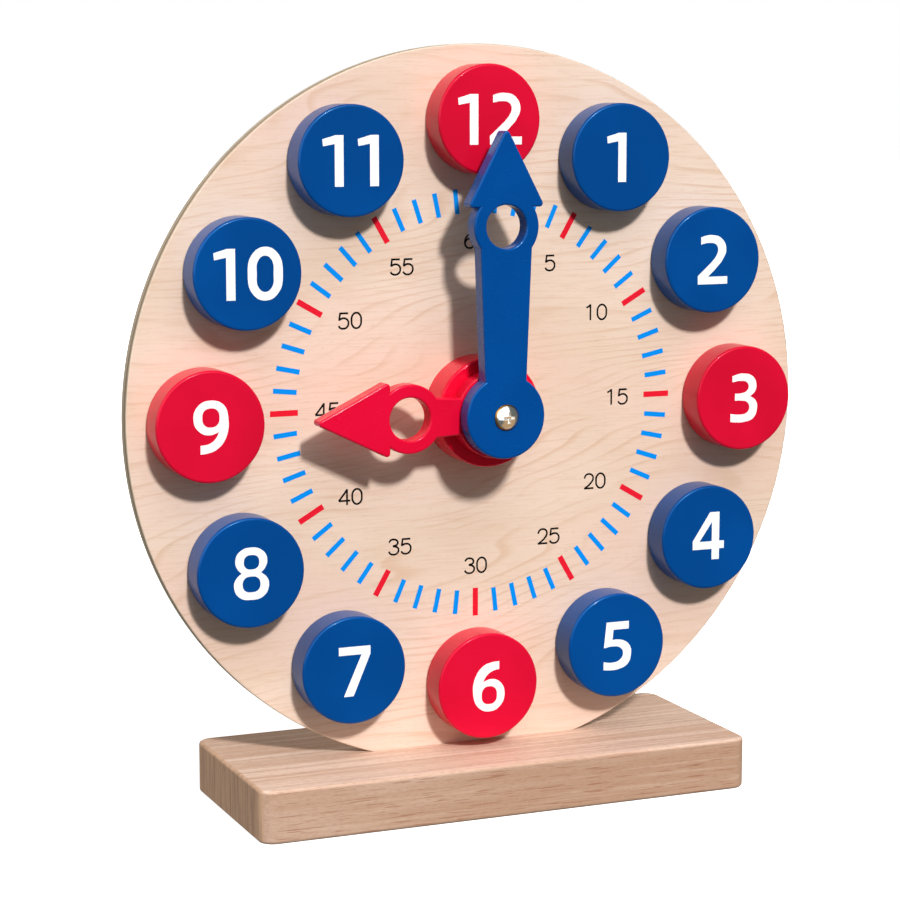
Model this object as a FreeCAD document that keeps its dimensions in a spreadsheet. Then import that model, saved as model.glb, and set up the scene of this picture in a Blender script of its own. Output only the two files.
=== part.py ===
"""Wooden teaching clock on a plinth, with a minute hand geared to its hour hand.

Every separate piece of the clock is an object of its own. Units are millimetres, +Z is up and
the clock looks along -Y. The origin is the centre of the plinth's underside.

Heights are counted from the dial's front face towards the viewer, so a height of 10 lies
10 mm in front of the dial. The hands rest at nine o'clock.
"""
import FreeCAD
import Part
import Sketcher
import math
import os

SIZES = {
    # Plinth
    "plinth_length": 181.6,
    "plinth_depth": 75.0,
    "plinth_thickness": 18.2,
    "plinth_corner_radius": 5.5,
    "plinth_edge_radius": 1.2,
    "slot_depth": 5.0,
    "slot_gap": 0.1,
    # Dial
    "dial_radius": 125.0,
    "dial_thickness": 5.6,
    "dial_edge_radius": 0.5,
    "dial_foot_trim": 1.4,
    # Number discs and their dowels
    "disc_radius": 18.7,
    "disc_thickness": 12.0,
    "disc_edge_radius": 0.9,
    "disc_rim_margin": 6.8,
    "disc_plinth_clearance": 3.6,
    "dowel_radius": 4.0,
    "dowel_in_disc": 6.5,
    "dowel_back_gap": 0.6,
    "dowel_chamfer": 0.5,
    "dowel_slide_gap": 0.1,
    # Gear case, the red drum between the dial and the hour hand
    "case_wall": 2.0,
    "case_gear_clearance": 0.89,
    "case_edge_radius": 1.0,
    "case_boss_radius": 2.4,
    "case_boss_clearance": 1.4,
    "case_screw_bite": 7.0,
    "case_screw_radius": 1.1,
    "case_screw_head_radius": 2.3,
    "case_screw_head_height": 1.6,
    # Gears
    "gear_module": 0.45,
    "minute_pinion_teeth": 10.0,
    "idler_wheel_teeth": 30.0,
    "idler_pinion_teeth": 8.0,
    "hour_wheel_teeth": 32.0,
    "gear_width": 2.5,
    "gear_backlash": 0.12,
    "gear_side_gap": 0.4,
    "wheel_spacing": 2.1,
    # Shafts and bearings
    "arbor_rear_radius": 1.6,
    "arbor_front_radius": 2.5,
    "arbor_square_side": 3.6,
    "arbor_rear_length": 4.6,
    "pipe_radius": 4.0,
    "pipe_set_back": 0.3,
    "stud_radius": 0.8,
    "stud_collar_radius": 1.8,
    "stud_collar_height": 1.0,
    "stud_web": 1.1,
    "stud_in_case": 1.2,
    "stud_boss_radius": 2.2,
    "stud_boss_height": 1.4,
    "bush_radius": 3.0,
    "bush_flange_radius": 4.5,
    "bush_flange_height": 0.8,
    "washer_radius": 4.0,
    "washer_thickness": 0.8,
    "nut_flat_radius": 2.75,
    "nut_height": 2.4,
    # Hour hand
    "hour_hub_radius": 15.0,
    "hour_arm_root_half_width": 5.4,
    "hour_arm_tip_half_width": 7.4,
    "hour_ring_reach": 32.1,
    "hour_arrow_lap": 4.7,
    "hour_arrow_half_width": 13.1,
    # Minute hand
    "minute_hand_gap": 0.5,
    "minute_hub_radius": 14.3,
    "minute_arm_root_half_width": 7.1,
    "minute_arm_tip_half_width": 9.65,
    "minute_ring_reach": 64.1,
    "minute_arrow_lap": 5.3,
    "minute_arrow_half_width": 14.1,
    # What both hands share
    "hand_thickness": 6.5,
    "hand_ring_radius": 11.8,
    "hand_arrow_length": 26.7,
    "finger_hole_radius": 7.3,
    "hand_corner_radius": 1.2,
    "hand_edge_radius": 0.7,
    # Screw in the middle of the minute hand
    "hand_screw_head_radius": 4.4,
    "hand_screw_head_height": 2.6,
    "hand_screw_dome_radius": 2.2,
    "hand_screw_radius": 1.22,
    "hand_screw_length": 7.5,
    "cross_recess_length": 4.4,
    "cross_recess_width": 1.1,
    "cross_recess_depth": 1.3,
    # Screws that hold the dial in the plinth
    "plinth_screw_spacing": 22.0,
    "plinth_screw_radius": 1.5,
    "plinth_screw_head_radius": 3.2,
    "plinth_screw_head_height": 2.0,
    "plinth_screw_recess": 2.6,
    "plinth_screw_bite": 11.0,
    # Fits
    "running_gap": 0.06,
    "press_gap": 0.02,
    "end_gap": 0.3,
}

DISC_COUNT = 12
CASE_SCREW_COUNT = 3
PRESSURE_ANGLE = math.radians(20.0)
WHEEL_ADDENDUM = 0.80
PINION_ADDENDUM = 0.90
DEDENDUM = 1.15
HOUR_HAND_HOUR = 9
TINY = 1e-4


class Size:
    """A number together with the sheet formula that it comes from."""

    def __init__(self, number, formula):
        self.number = float(number)
        self.formula = formula

    def __add__(self, other):
        other = as_size(other)
        return Size(self.number + other.number, f"({self.formula} + {other.formula})")

    def __radd__(self, other):
        return as_size(other) + self

    def __sub__(self, other):
        other = as_size(other)
        return Size(self.number - other.number, f"({self.formula} - {other.formula})")

    def __rsub__(self, other):
        return as_size(other) - self

    def __mul__(self, other):
        other = as_size(other)
        return Size(self.number * other.number, f"({self.formula} * {other.formula})")

    def __rmul__(self, other):
        return as_size(other) * self

    def __truediv__(self, other):
        other = as_size(other)
        return Size(self.number / other.number, f"({self.formula} / {other.formula})")

    def __neg__(self):
        return Size(-self.number, f"(-1 * {self.formula})")


def as_size(value):
    """Turn a plain number into a Size."""
    if isinstance(value, Size):
        return value
    return Size(value, repr(float(value)))


def root(value):
    """Square root of a Size."""
    return Size(math.sqrt(value.number), f"sqrt({value.formula})")


def on_circle(radius, degrees):
    """Point at a clockwise angle from straight up, as seen from the front."""
    turn = math.radians(degrees)
    return radius * round(math.sin(turn), 9), radius * round(math.cos(turn), 9)


doc = FreeCAD.newDocument("TeachingClock")
sheet = doc.addObject("Spreadsheet::Sheet", "Sizes")
for row, (alias, number) in enumerate(SIZES.items(), start=1):
    sheet.set(f"A{row}", alias.replace("_", " "))
    sheet.set(f"B{row}", str(number))
    sheet.setAlias(f"B{row}", alias)
doc.recompute()


def sized(alias):
    """The named cell of the sheet, as a Size."""
    return Size(getattr(sheet, alias), f"Sizes.{alias}")


# Sizes that several pieces share

dial_radius = sized("dial_radius")
dial_thickness = sized("dial_thickness")
dial_foot_drop = dial_radius - sized("dial_foot_trim")
dial_above_plinth = dial_foot_drop - sized("slot_depth")
dial_centre_height = sized("plinth_thickness") + dial_above_plinth
running_gap = sized("running_gap")
press_gap = sized("press_gap")
end_gap = sized("end_gap")

gear_module = sized("gear_module")
gear_side_gap = sized("gear_side_gap")
gear_distance = gear_module * (sized("minute_pinion_teeth") + sized("idler_wheel_teeth")) / 2
idler_back = sized("stud_collar_height") + gear_side_gap
idler_wheel_front = idler_back + sized("gear_width")
pinion_back = sized("bush_flange_height") + end_gap
pinion_front = idler_wheel_front + gear_side_gap
hour_hub_back = pinion_front + end_gap
hour_wheel_back = idler_wheel_front + sized("wheel_spacing")
idler_front = hour_wheel_back + sized("gear_width") + gear_side_gap

thrust_face = idler_front + gear_side_gap
case_inner_height = thrust_face + sized("stud_boss_height")
case_height = case_inner_height + sized("case_wall")
idler_tip_radius = gear_module * (sized("idler_wheel_teeth") / 2 + WHEEL_ADDENDUM)
case_inner_radius = gear_distance + idler_tip_radius + sized("case_gear_clearance")
hour_hand_back = case_height + end_gap
hour_hand_front = hour_hand_back + sized("hand_thickness")
minute_hand_back = hour_hand_front + sized("minute_hand_gap")
minute_hand_front = minute_hand_back + sized("hand_thickness")
pipe_end = hour_hand_front - sized("pipe_set_back")
washer_back = -dial_thickness - end_gap - sized("washer_thickness")
nut_back = washer_back - sized("nut_height")
arbor_rear = -dial_thickness - sized("arbor_rear_length")
arbor_front = minute_hand_front - end_gap


# Building blocks

def bind(item, prop, size):
    """Tie a property of an object to the sheet."""
    item.setExpression(prop, as_size(size).formula)


def new_body(label):
    """Start a piece of its own. Its label names its file."""
    body = doc.addObject("PartDesign::Body", label)
    body.Label = label
    return body


def place(item, x=0.0, y=0.0, z=0.0, clock_angle=0.0):
    """Put a piece in place, turned clockwise as seen from the front."""
    turn = FreeCAD.Rotation(FreeCAD.Vector(0, 1, 0), clock_angle)
    item.Placement = FreeCAD.Placement(FreeCAD.Vector(0, 0, 0), turn)
    for axis, size in zip("xyz", (x, y, z)):
        bind(item, f".Placement.Base.{axis}", size)


def place_on_dial(item, x=0.0, z=0.0, clock_angle=0.0):
    """Put a piece so that its height 0 is the dial's front face and its origin the dial's centre."""
    place(item, x, -dial_thickness / 2, dial_centre_height + z, clock_angle)


def sketch_on(body, role, offset, name):
    """A sketch on one of the piece's own planes, moved along the plane's normal."""
    plane = next(item for item in body.Origin.OriginFeatures if item.Role == role)
    sketch = body.newObject("Sketcher::SketchObject", name)
    sketch.AttachmentSupport = [(plane, "")]
    sketch.MapMode = "FlatFace"
    bind(sketch, ".AttachmentOffset.Base.z", offset)
    return sketch


def front_sketch(body, height, name):
    """A sketch parallel to the dial, at a height in front of it."""
    return sketch_on(body, "XZ_Plane", height, name)


def hold_point(sketch, index, point, x, y):
    """Fix a point of a sketch by its signed distances from the origin."""
    for kind, size in (("DistanceX", x), ("DistanceY", y)):
        size = as_size(size)
        number = sketch.addConstraint(Sketcher.Constraint(kind, -1, 1, index, point, size.number))
        bind(sketch, f"Constraints[{number}]", size)


def circle(sketch, radius, x=0.0, y=0.0):
    """A circle held by its radius and its centre."""
    x, y, radius = as_size(x), as_size(y), as_size(radius)
    centre = FreeCAD.Vector(x.number, y.number, 0)
    index = sketch.addGeometry(Part.Circle(centre, FreeCAD.Vector(0, 0, 1), radius.number))
    number = sketch.addConstraint(Sketcher.Constraint("Radius", index, radius.number))
    bind(sketch, f"Constraints[{number}]", radius)
    hold_point(sketch, index, 3, x, y)


def polygon(sketch, corners):
    """A closed outline of straight lines, each corner held by its distances."""
    corners = [(as_size(x), as_size(y)) for x, y in corners]
    points = [FreeCAD.Vector(x.number, y.number, 0) for x, y in corners]
    lines = []
    for start, end in zip(points, points[1:] + points[:1]):
        lines.append(sketch.addGeometry(Part.LineSegment(start, end)))
    for line, following in zip(lines, lines[1:] + lines[:1]):
        sketch.addConstraint(Sketcher.Constraint("Coincident", line, 2, following, 1))
    for line, (x, y) in zip(lines, corners):
        hold_point(sketch, line, 1, x, y)


def rectangle(sketch, half_width, half_height):
    """A rectangle about the origin."""
    half_width, half_height = as_size(half_width), as_size(half_height)
    polygon(sketch, [
        (-half_width, -half_height),
        (half_width, -half_height),
        (half_width, half_height),
        (-half_width, half_height),
    ])


def solid_volume(feature):
    """Volume of the piece as it stood after a feature."""
    return 0.0 if feature is None else feature.Shape.Volume


def pad(body, sketch, length):
    """Add material from the sketch towards its normal."""
    before = solid_volume(body.Tip)
    feature = body.newObject("PartDesign::Pad", sketch.Name + "_pad")
    feature.Profile = sketch
    bind(feature, "Length", length)
    doc.recompute()
    if feature.Shape.Volume <= before:
        raise RuntimeError(f"{feature.Name} adds nothing")
    return feature


def pocket(body, sketch, depth=None, outwards=False):
    """Cut from the sketch against its normal, or along it when outwards is set."""
    before = solid_volume(body.Tip)
    feature = body.newObject("PartDesign::Pocket", sketch.Name + "_pocket")
    feature.Profile = sketch
    feature.Reversed = outwards
    if depth is None:
        feature.Type = "ThroughAll"
    else:
        bind(feature, "Length", depth)
    doc.recompute()
    if feature.Shape.Volume >= before:
        raise RuntimeError(f"{feature.Name} cuts nothing")
    return feature


def round_edges(body, radius, chosen, name):
    """Round the edges of the piece for which chosen says yes."""
    base = body.Tip
    names = [f"Edge{n}" for n, edge in enumerate(base.Shape.Edges, start=1) if chosen(edge)]
    feature = body.newObject("PartDesign::Fillet", name)
    feature.Base = (base, names)
    bind(feature, "Radius", radius)
    doc.recompute()
    return feature


def lies_at(edge, axis, level):
    """Whether a whole edge lies in the plane where the coordinate named axis has this value."""
    box = edge.BoundBox
    low, high = getattr(box, axis + "Min"), getattr(box, axis + "Max")
    return abs(low - level) < 0.01 and abs(high - level) < 0.01


def stand(body, height, length, radius, name):
    """A round step of a turned piece, from a height towards the front."""
    sketch = front_sketch(body, height, name)
    circle(sketch, radius)
    return pad(body, sketch, length)


def bore(body, height, radius, name, depth=None):
    """A round hole on the piece's axis, cut backwards from a height."""
    sketch = front_sketch(body, height, name)
    circle(sketch, radius)
    return pocket(body, sketch, depth)


# Gear teeth

def involute(angle):
    """Involute function of a pressure angle."""
    return math.tan(angle) - angle


def tooth_half_angle(radius, teeth):
    """Half the angle that a tooth fills at a radius, with the backlash taken off."""
    pitch_radius = gear_module.number * teeth / 2
    base_radius = pitch_radius * math.cos(PRESSURE_ANGLE)
    half = math.pi / (2 * teeth) - sized("gear_backlash").number / (2 * pitch_radius)
    flank = involute(PRESSURE_ANGLE)
    if radius > base_radius:
        flank -= involute(math.acos(base_radius / radius))
    return half + flank


def tooth_ring(body, height, width, teeth, addendum, gap_up, name):
    """Teeth round a wheel. A tooth, or with gap_up a gap, points straight up."""
    count = teeth.number
    module = gear_module.number
    pitch_radius = module * count / 2
    foot = pitch_radius - DEDENDUM * module
    tip = pitch_radius + addendum * module
    start = math.pi / 2 + (math.pi / count if gap_up else 0.0)

    def flank_point(radius, side):
        turn = start - side * tooth_half_angle(radius, count)
        return FreeCAD.Vector(radius * math.cos(turn), radius * math.sin(turn), 0)

    hub = front_sketch(body, height, name + "_root")
    circle(hub, gear_module * (teeth / 2 - DEDENDUM))
    pad(body, hub, width)

    sketch = front_sketch(body, height, name + "_tooth")
    radii = (foot - 0.1 * module, (foot + tip) / 2, tip)
    right = [flank_point(radius, 1) for radius in radii]
    left = [flank_point(radius, -1) for radius in radii]
    sketch.addGeometry(Part.Arc(*right))
    sketch.addGeometry(Part.LineSegment(right[2], left[2]))
    sketch.addGeometry(Part.Arc(*reversed(left)))
    sketch.addGeometry(Part.LineSegment(left[0], right[0]))
    for edge in range(4):
        sketch.addConstraint(Sketcher.Constraint("Block", edge))
    tooth = pad(body, sketch, width)

    ring = body.newObject("PartDesign::PolarPattern", name + "_teeth")
    ring.Originals = [tooth]
    ring.Axis = (sketch, ["N_Axis"])
    ring.Angle = 360
    bind(ring, "Occurrences", teeth)
    body.Tip = ring
    doc.recompute()
    return ring


# Plinth and dial

def make_plinth():
    """Solid wooden block with a stopped slot for the dial and two screw holes."""
    body = new_body("plinth_block")
    thickness = sized("plinth_thickness")
    block = sketch_on(body, "XY_Plane", 0, "plinth_outline")
    rectangle(block, sized("plinth_length") / 2, sized("plinth_depth") / 2)
    pad(body, block, thickness)
    round_edges(body, sized("plinth_corner_radius"),
                lambda edge: edge.BoundBox.ZLength > thickness.number / 2, "plinth_corners")
    round_edges(body, sized("plinth_edge_radius"),
                lambda edge: lies_at(edge, "Z", 0) or lies_at(edge, "Z", thickness.number),
                "plinth_edges")
    slot = sketch_on(body, "XY_Plane", thickness, "dial_slot")
    half_chord = root(dial_radius * dial_radius - dial_above_plinth * dial_above_plinth)
    rectangle(slot, half_chord + sized("slot_gap"), dial_thickness / 2 + sized("slot_gap"))
    pocket(body, slot, sized("slot_depth"))
    holes = sketch_on(body, "XY_Plane", 0, "plinth_screw_holes")
    heads = sketch_on(body, "XY_Plane", 0, "plinth_screw_recesses")
    for side in (-1, 1):
        across = sized("plinth_screw_spacing") * (side / 2)
        circle(holes, sized("plinth_screw_radius") + press_gap, across)
        circle(heads, sized("plinth_screw_head_radius") + end_gap, across)
    pocket(body, holes, thickness, outwards=True)
    pocket(body, heads, sized("plinth_screw_recess"), outwards=True)
    place(body)


def make_dial():
    """Round plywood dial, cut flat at its foot, with the holes for all that it carries."""
    body = new_body("dial_board")
    disc = front_sketch(body, -dial_thickness, "dial_outline")
    circle(disc, dial_radius)
    pad(body, disc, dial_thickness)
    foot = front_sketch(body, 0, "dial_foot")
    below = dial_radius + 1
    polygon(foot, [
        (-dial_radius, -below),
        (dial_radius, -below),
        (dial_radius, -dial_foot_drop),
        (-dial_radius, -dial_foot_drop),
    ])
    pocket(body, foot)
    round_edges(body, sized("dial_edge_radius"),
                lambda edge: isinstance(edge.Curve, Part.Circle) and edge.BoundBox.YLength < TINY,
                "dial_rims")
    pegs = front_sketch(body, 0, "dowel_holes")
    for hour in range(1, DISC_COUNT + 1):
        across, up = disc_centre(hour)
        circle(pegs, sized("dowel_radius") + sized("dowel_slide_gap"), across, up)
    pocket(body, pegs)
    fixings = front_sketch(body, 0, "case_screw_and_bush_holes")
    circle(fixings, sized("bush_radius") + press_gap)
    for across, up in case_screw_places():
        circle(fixings, sized("case_screw_radius") + press_gap, across, up)
    pocket(body, fixings)
    stud = front_sketch(body, 0, "stud_hole")
    circle(stud, sized("stud_radius") + press_gap, 0, gear_distance)
    pocket(body, stud, dial_thickness - sized("stud_web"))
    pilots = sketch_on(body, "XY_Plane", -dial_foot_drop, "plinth_screw_pilots")
    for side in (-1, 1):
        across = sized("plinth_screw_spacing") * (side / 2)
        circle(pilots, sized("plinth_screw_radius") + press_gap, across, dial_thickness / 2)
    pocket(body, pilots, sized("plinth_screw_bite"), outwards=True)
    place_on_dial(body)


# Number discs

def disc_centre(hour):
    """Centre of the disc for an hour. The six sits nearer the hands, to clear the plinth."""
    if hour == 6:
        edge = dial_above_plinth - sized("disc_plinth_clearance")
    else:
        edge = dial_radius - sized("disc_rim_margin")
    return on_circle(edge - sized("disc_radius"), hour * 360 / DISC_COUNT)


def make_number_disc(hour):
    """Thick painted disc with a blind hole at the back for its dowel."""
    body = new_body(f"number_disc_{hour:02d}")
    stand(body, 0, sized("disc_thickness"), sized("disc_radius"), f"disc_{hour:02d}")
    round_edges(body, sized("disc_edge_radius"), lambda edge: edge.BoundBox.YLength < TINY,
                f"disc_{hour:02d}_rims")
    hole = front_sketch(body, 0, f"disc_{hour:02d}_hole")
    circle(hole, sized("dowel_radius") + press_gap)
    pocket(body, hole, sized("dowel_in_disc"), outwards=True)
    place_on_dial(body, *disc_centre(hour))


def make_dowel(hour):
    """Dowel that is glued in a number disc and pushes into the dial."""
    body = new_body(f"disc_dowel_{hour:02d}")
    back = sized("dowel_back_gap") - dial_thickness
    stand(body, back, sized("dowel_in_disc") - back, sized("dowel_radius"), f"dowel_{hour:02d}")
    pin = body.Tip
    ends = [f"Edge{n}" for n, edge in enumerate(pin.Shape.Edges, start=1)
            if lies_at(edge, "Y", -back.number)]
    chamfer = body.newObject("PartDesign::Chamfer", f"dowel_{hour:02d}_chamfer")
    chamfer.Base = (pin, ends)
    bind(chamfer, "Size", sized("dowel_chamfer"))
    doc.recompute()
    place_on_dial(body, *disc_centre(hour))


# Gear case and its fixings

def case_screw_places():
    """Centres of the case's screws. None is in line with the idler straight above."""
    step = 360 / CASE_SCREW_COUNT
    ring = case_inner_radius - sized("case_boss_clearance") - sized("case_boss_radius")
    return [on_circle(ring, step / 2 + step * n) for n in range(CASE_SCREW_COUNT)]


def make_gear_case():
    """Drum that covers the gears: a cup with its mouth on the dial and three screw bosses."""
    body = new_body("gear_case")
    stand(body, 0, case_height, case_inner_radius + sized("case_wall"), "case_drum")
    round_edges(body, sized("case_edge_radius"),
                lambda edge: lies_at(edge, "Y", -case_height.number), "case_rim")
    inside = front_sketch(body, 0, "case_inside")
    circle(inside, case_inner_radius)
    pocket(body, inside, case_inner_height, outwards=True)
    bosses = front_sketch(body, 0, "case_bosses")
    pilots = front_sketch(body, 0, "case_pilots")
    for across, up in case_screw_places():
        circle(bosses, sized("case_boss_radius"), across, up)
        circle(pilots, sized("case_screw_radius") + press_gap, across, up)
    pad(body, bosses, case_inner_height)
    pocket(body, pilots, sized("case_screw_bite") + end_gap, outwards=True)
    thrust = front_sketch(body, thrust_face, "stud_boss")
    circle(thrust, sized("stud_boss_radius"), 0, gear_distance)
    pad(body, thrust, sized("stud_boss_height"))
    socket = front_sketch(body, thrust_face, "stud_socket")
    circle(socket, sized("stud_radius") + press_gap, 0, gear_distance)
    pocket(body, socket, sized("stud_boss_height") + sized("stud_in_case"), outwards=True)
    bore(body, case_height, sized("pipe_radius") + running_gap, "case_mouth")
    place_on_dial(body)


def screw_shape(head_radius, head_height, shank_radius, length):
    """Pan-head screw that points along +Z, with the underside of its head at the origin."""
    shank = Part.makeCylinder(shank_radius, length)
    down = FreeCAD.Vector(0, 0, -1)
    head = Part.makeCylinder(head_radius, head_height, FreeCAD.Vector(0, 0, 0), down)
    far = [edge for edge in head.Edges if lies_at(edge, "Z", -head_height)]
    head = head.makeFillet(0.45 * min(head_height, head_radius), far)
    slot_depth = head_height / 2
    for turn in (0, 90):
        slot = Part.makeBox(1.2 * head_radius, 0.3 * head_radius, slot_depth)
        slot.translate(FreeCAD.Vector(-0.6 * head_radius, -0.15 * head_radius, -head_height))
        slot.rotate(FreeCAD.Vector(0, 0, 0), FreeCAD.Vector(0, 0, 1), turn)
        head = head.cut(slot)
    return shank.fuse(head).removeSplitter()


def make_case_screws():
    """Three screws from the back of the dial into the bosses of the gear case."""
    screw = screw_shape(
        sized("case_screw_head_radius").number,
        sized("case_screw_head_height").number,
        sized("case_screw_radius").number,
        dial_thickness.number + sized("case_screw_bite").number,
    )
    screw.rotate(FreeCAD.Vector(0, 0, 0), FreeCAD.Vector(1, 0, 0), 90)
    copies = []
    for across, up in case_screw_places():
        copy = screw.copy()
        copy.translate(FreeCAD.Vector(across.number, dial_thickness.number, up.number))
        copies.append(copy)
    feature = doc.addObject("Part::Feature", "case_screws")
    feature.Label = "case_screws"
    feature.Shape = Part.makeCompound(copies)
    place_on_dial(feature)


def make_plinth_screws():
    """Two screws from under the plinth into the foot of the dial."""
    recess = sized("plinth_screw_recess").number
    web = sized("plinth_thickness").number - sized("slot_depth").number - recess
    screw = screw_shape(
        sized("plinth_screw_head_radius").number,
        sized("plinth_screw_head_height").number,
        sized("plinth_screw_radius").number,
        web + sized("plinth_screw_bite").number - end_gap.number,
    )
    copies = []
    for side in (-1, 1):
        copy = screw.copy()
        across = side * sized("plinth_screw_spacing").number / 2
        copy.translate(FreeCAD.Vector(across, 0, recess))
        copies.append(copy)
    feature = doc.addObject("Part::Feature", "plinth_screws")
    feature.Label = "plinth_screws"
    feature.Shape = Part.makeCompound(copies)
    place(feature)


def make_idler_stud():
    """Steel pin that carries the idler, held in the dial and in the case's front wall."""
    body = new_body("idler_stud")
    back = sized("stud_web") - dial_thickness
    front = case_inner_height + sized("stud_in_case")
    stand(body, back, front - back - press_gap, sized("stud_radius"), "stud_pin")
    stand(body, 0, sized("stud_collar_height"), sized("stud_collar_radius"), "stud_collar")
    place_on_dial(body, 0.0, gear_distance)


# Gears and shafts

def make_idler_gear():
    """Wheel and pinion in one, turning on the stud."""
    body = new_body("idler_gear")
    tooth_ring(body, idler_back, sized("gear_width"), sized("idler_wheel_teeth"),
               WHEEL_ADDENDUM, False, "idler_wheel")
    tooth_ring(body, idler_wheel_front, idler_front - idler_wheel_front,
               sized("idler_pinion_teeth"), PINION_ADDENDUM, False, "idler_pinion")
    bore(body, idler_front, sized("stud_radius") + running_gap, "idler_bore")
    place_on_dial(body, 0.0, gear_distance)


def make_minute_arbor():
    """Steel arbor with its pinion cut on it, a square end for the hand and a threaded end."""
    body = new_body("minute_arbor")
    stand(body, arbor_rear, pinion_back - arbor_rear, sized("arbor_rear_radius"), "arbor_rear")
    tooth_ring(body, pinion_back, pinion_front - pinion_back, sized("minute_pinion_teeth"),
               PINION_ADDENDUM, True, "minute_pinion")
    stand(body, pinion_front, minute_hand_back - pinion_front, sized("arbor_front_radius"),
          "arbor_front")
    square = front_sketch(body, minute_hand_back, "arbor_square")
    rectangle(square, sized("arbor_square_side") / 2, sized("arbor_square_side") / 2)
    pad(body, square, arbor_front - minute_hand_back)
    bore(body, arbor_front, sized("hand_screw_radius") + press_gap, "arbor_thread",
         sized("hand_screw_length"))
    place_on_dial(body)


def make_hour_wheel():
    """Hour wheel with the pipe that carries the hour hand, turning on the arbor."""
    body = new_body("hour_wheel")
    stand(body, hour_hub_back, pipe_end - hour_hub_back, sized("pipe_radius"), "hour_pipe")
    tooth_ring(body, hour_wheel_back, sized("gear_width"), sized("hour_wheel_teeth"),
               WHEEL_ADDENDUM, True, "hour_wheel")
    bore(body, pipe_end, sized("arbor_front_radius") + running_gap, "hour_bore")
    place_on_dial(body)


def make_arbor_bush():
    """Flanged brass bush in the dial, in which the arbor turns."""
    body = new_body("arbor_bush")
    stand(body, -dial_thickness, dial_thickness, sized("bush_radius"), "bush_barrel")
    stand(body, 0, sized("bush_flange_height"), sized("bush_flange_radius"), "bush_flange")
    bore(body, sized("bush_flange_height"), sized("arbor_rear_radius") + running_gap, "bush_bore")
    place_on_dial(body)


def make_rear_washer():
    """Washer behind the dial, which turns with the arbor."""
    body = new_body("rear_washer")
    stand(body, washer_back, sized("washer_thickness"), sized("washer_radius"), "washer_disc")
    bore(body, washer_back + sized("washer_thickness"), sized("arbor_rear_radius") + press_gap,
         "washer_bore")
    place_on_dial(body)


def make_rear_nut():
    """Hexagon nut that keeps the arbor in the dial."""
    body = new_body("rear_nut")
    corner_radius = sized("nut_flat_radius") * round(1 / math.cos(math.radians(30)), 9)
    sketch = front_sketch(body, nut_back, "nut_hexagon")
    polygon(sketch, [on_circle(corner_radius, 60 * n) for n in range(6)])
    pad(body, sketch, sized("nut_height"))
    bore(body, nut_back + sized("nut_height"), sized("arbor_rear_radius") + press_gap, "nut_bore")
    place_on_dial(body)


# Hands

def make_hand(label, back, hub_radius, arm, ring_reach, arrow):
    """Flat moulded hand: round hub, widening arm, finger ring and arrowhead, pointing up."""
    body = new_body(label)
    thickness = sized("hand_thickness")
    front = back + thickness
    arm_root, arm_tip = arm
    arrow_lap, arrow_half_width = arrow
    arrow_base = ring_reach + sized("hand_ring_radius") - arrow_lap
    tip_reach = arrow_base + sized("hand_arrow_length")
    stand(body, back, thickness, hub_radius, label + "_hub")
    outlines = {
        "arm": [(-arm_root, 0), (arm_root, 0), (arm_tip, ring_reach), (-arm_tip, ring_reach)],
        "arrow": [(-arrow_half_width, arrow_base), (arrow_half_width, arrow_base), (0, tip_reach)],
    }
    for part, corners in outlines.items():
        sketch = front_sketch(body, back, f"{label}_{part}")
        polygon(sketch, corners)
        pad(body, sketch, thickness)
    ring = front_sketch(body, back, label + "_ring")
    circle(ring, sized("hand_ring_radius"), 0, ring_reach)
    pad(body, ring, thickness)
    sharp = [(-arrow_half_width.number, arrow_base.number),
             (arrow_half_width.number, arrow_base.number),
             (0.0, tip_reach.number)]

    def at_sharp_corner(edge):
        middle = edge.BoundBox.Center
        upright = edge.BoundBox.YLength > thickness.number / 2
        near = any(math.hypot(middle.x - x, middle.z - z) < 0.01 for x, z in sharp)
        return upright and near

    round_edges(body, sized("hand_corner_radius"), at_sharp_corner, label + "_corners")
    hole = front_sketch(body, front, label + "_finger_hole")
    circle(hole, sized("finger_hole_radius"), 0, ring_reach)
    pocket(body, hole, thickness)
    for side, level in (("front", front), ("back", back)):
        round_edges(body, sized("hand_edge_radius"),
                    lambda edge, y=-level.number: lies_at(edge, "Y", y), f"{label}_{side}_edge")
    return body


def make_hour_hand():
    """Hour hand, pressed on the hour wheel's pipe, resting at nine o'clock."""
    body = make_hand(
        "hour_hand",
        hour_hand_back,
        sized("hour_hub_radius"),
        (sized("hour_arm_root_half_width"), sized("hour_arm_tip_half_width")),
        sized("hour_ring_reach"),
        (sized("hour_arrow_lap"), sized("hour_arrow_half_width")),
    )
    bore(body, hour_hand_front, sized("pipe_radius") + press_gap, "hour_hand_bore",
         sized("hand_thickness"))
    place_on_dial(body, clock_angle=HOUR_HAND_HOUR * 30)


def make_minute_hand():
    """Minute hand, keyed on the arbor's square end, resting at twelve."""
    body = make_hand(
        "minute_hand",
        minute_hand_back,
        sized("minute_hub_radius"),
        (sized("minute_arm_root_half_width"), sized("minute_arm_tip_half_width")),
        sized("minute_ring_reach"),
        (sized("minute_arrow_lap"), sized("minute_arrow_half_width")),
    )
    key = front_sketch(body, minute_hand_front, "minute_hand_key")
    half_key = sized("arbor_square_side") / 2 + press_gap
    rectangle(key, half_key, half_key)
    pocket(body, key, sized("hand_thickness"))
    place_on_dial(body)


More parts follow.
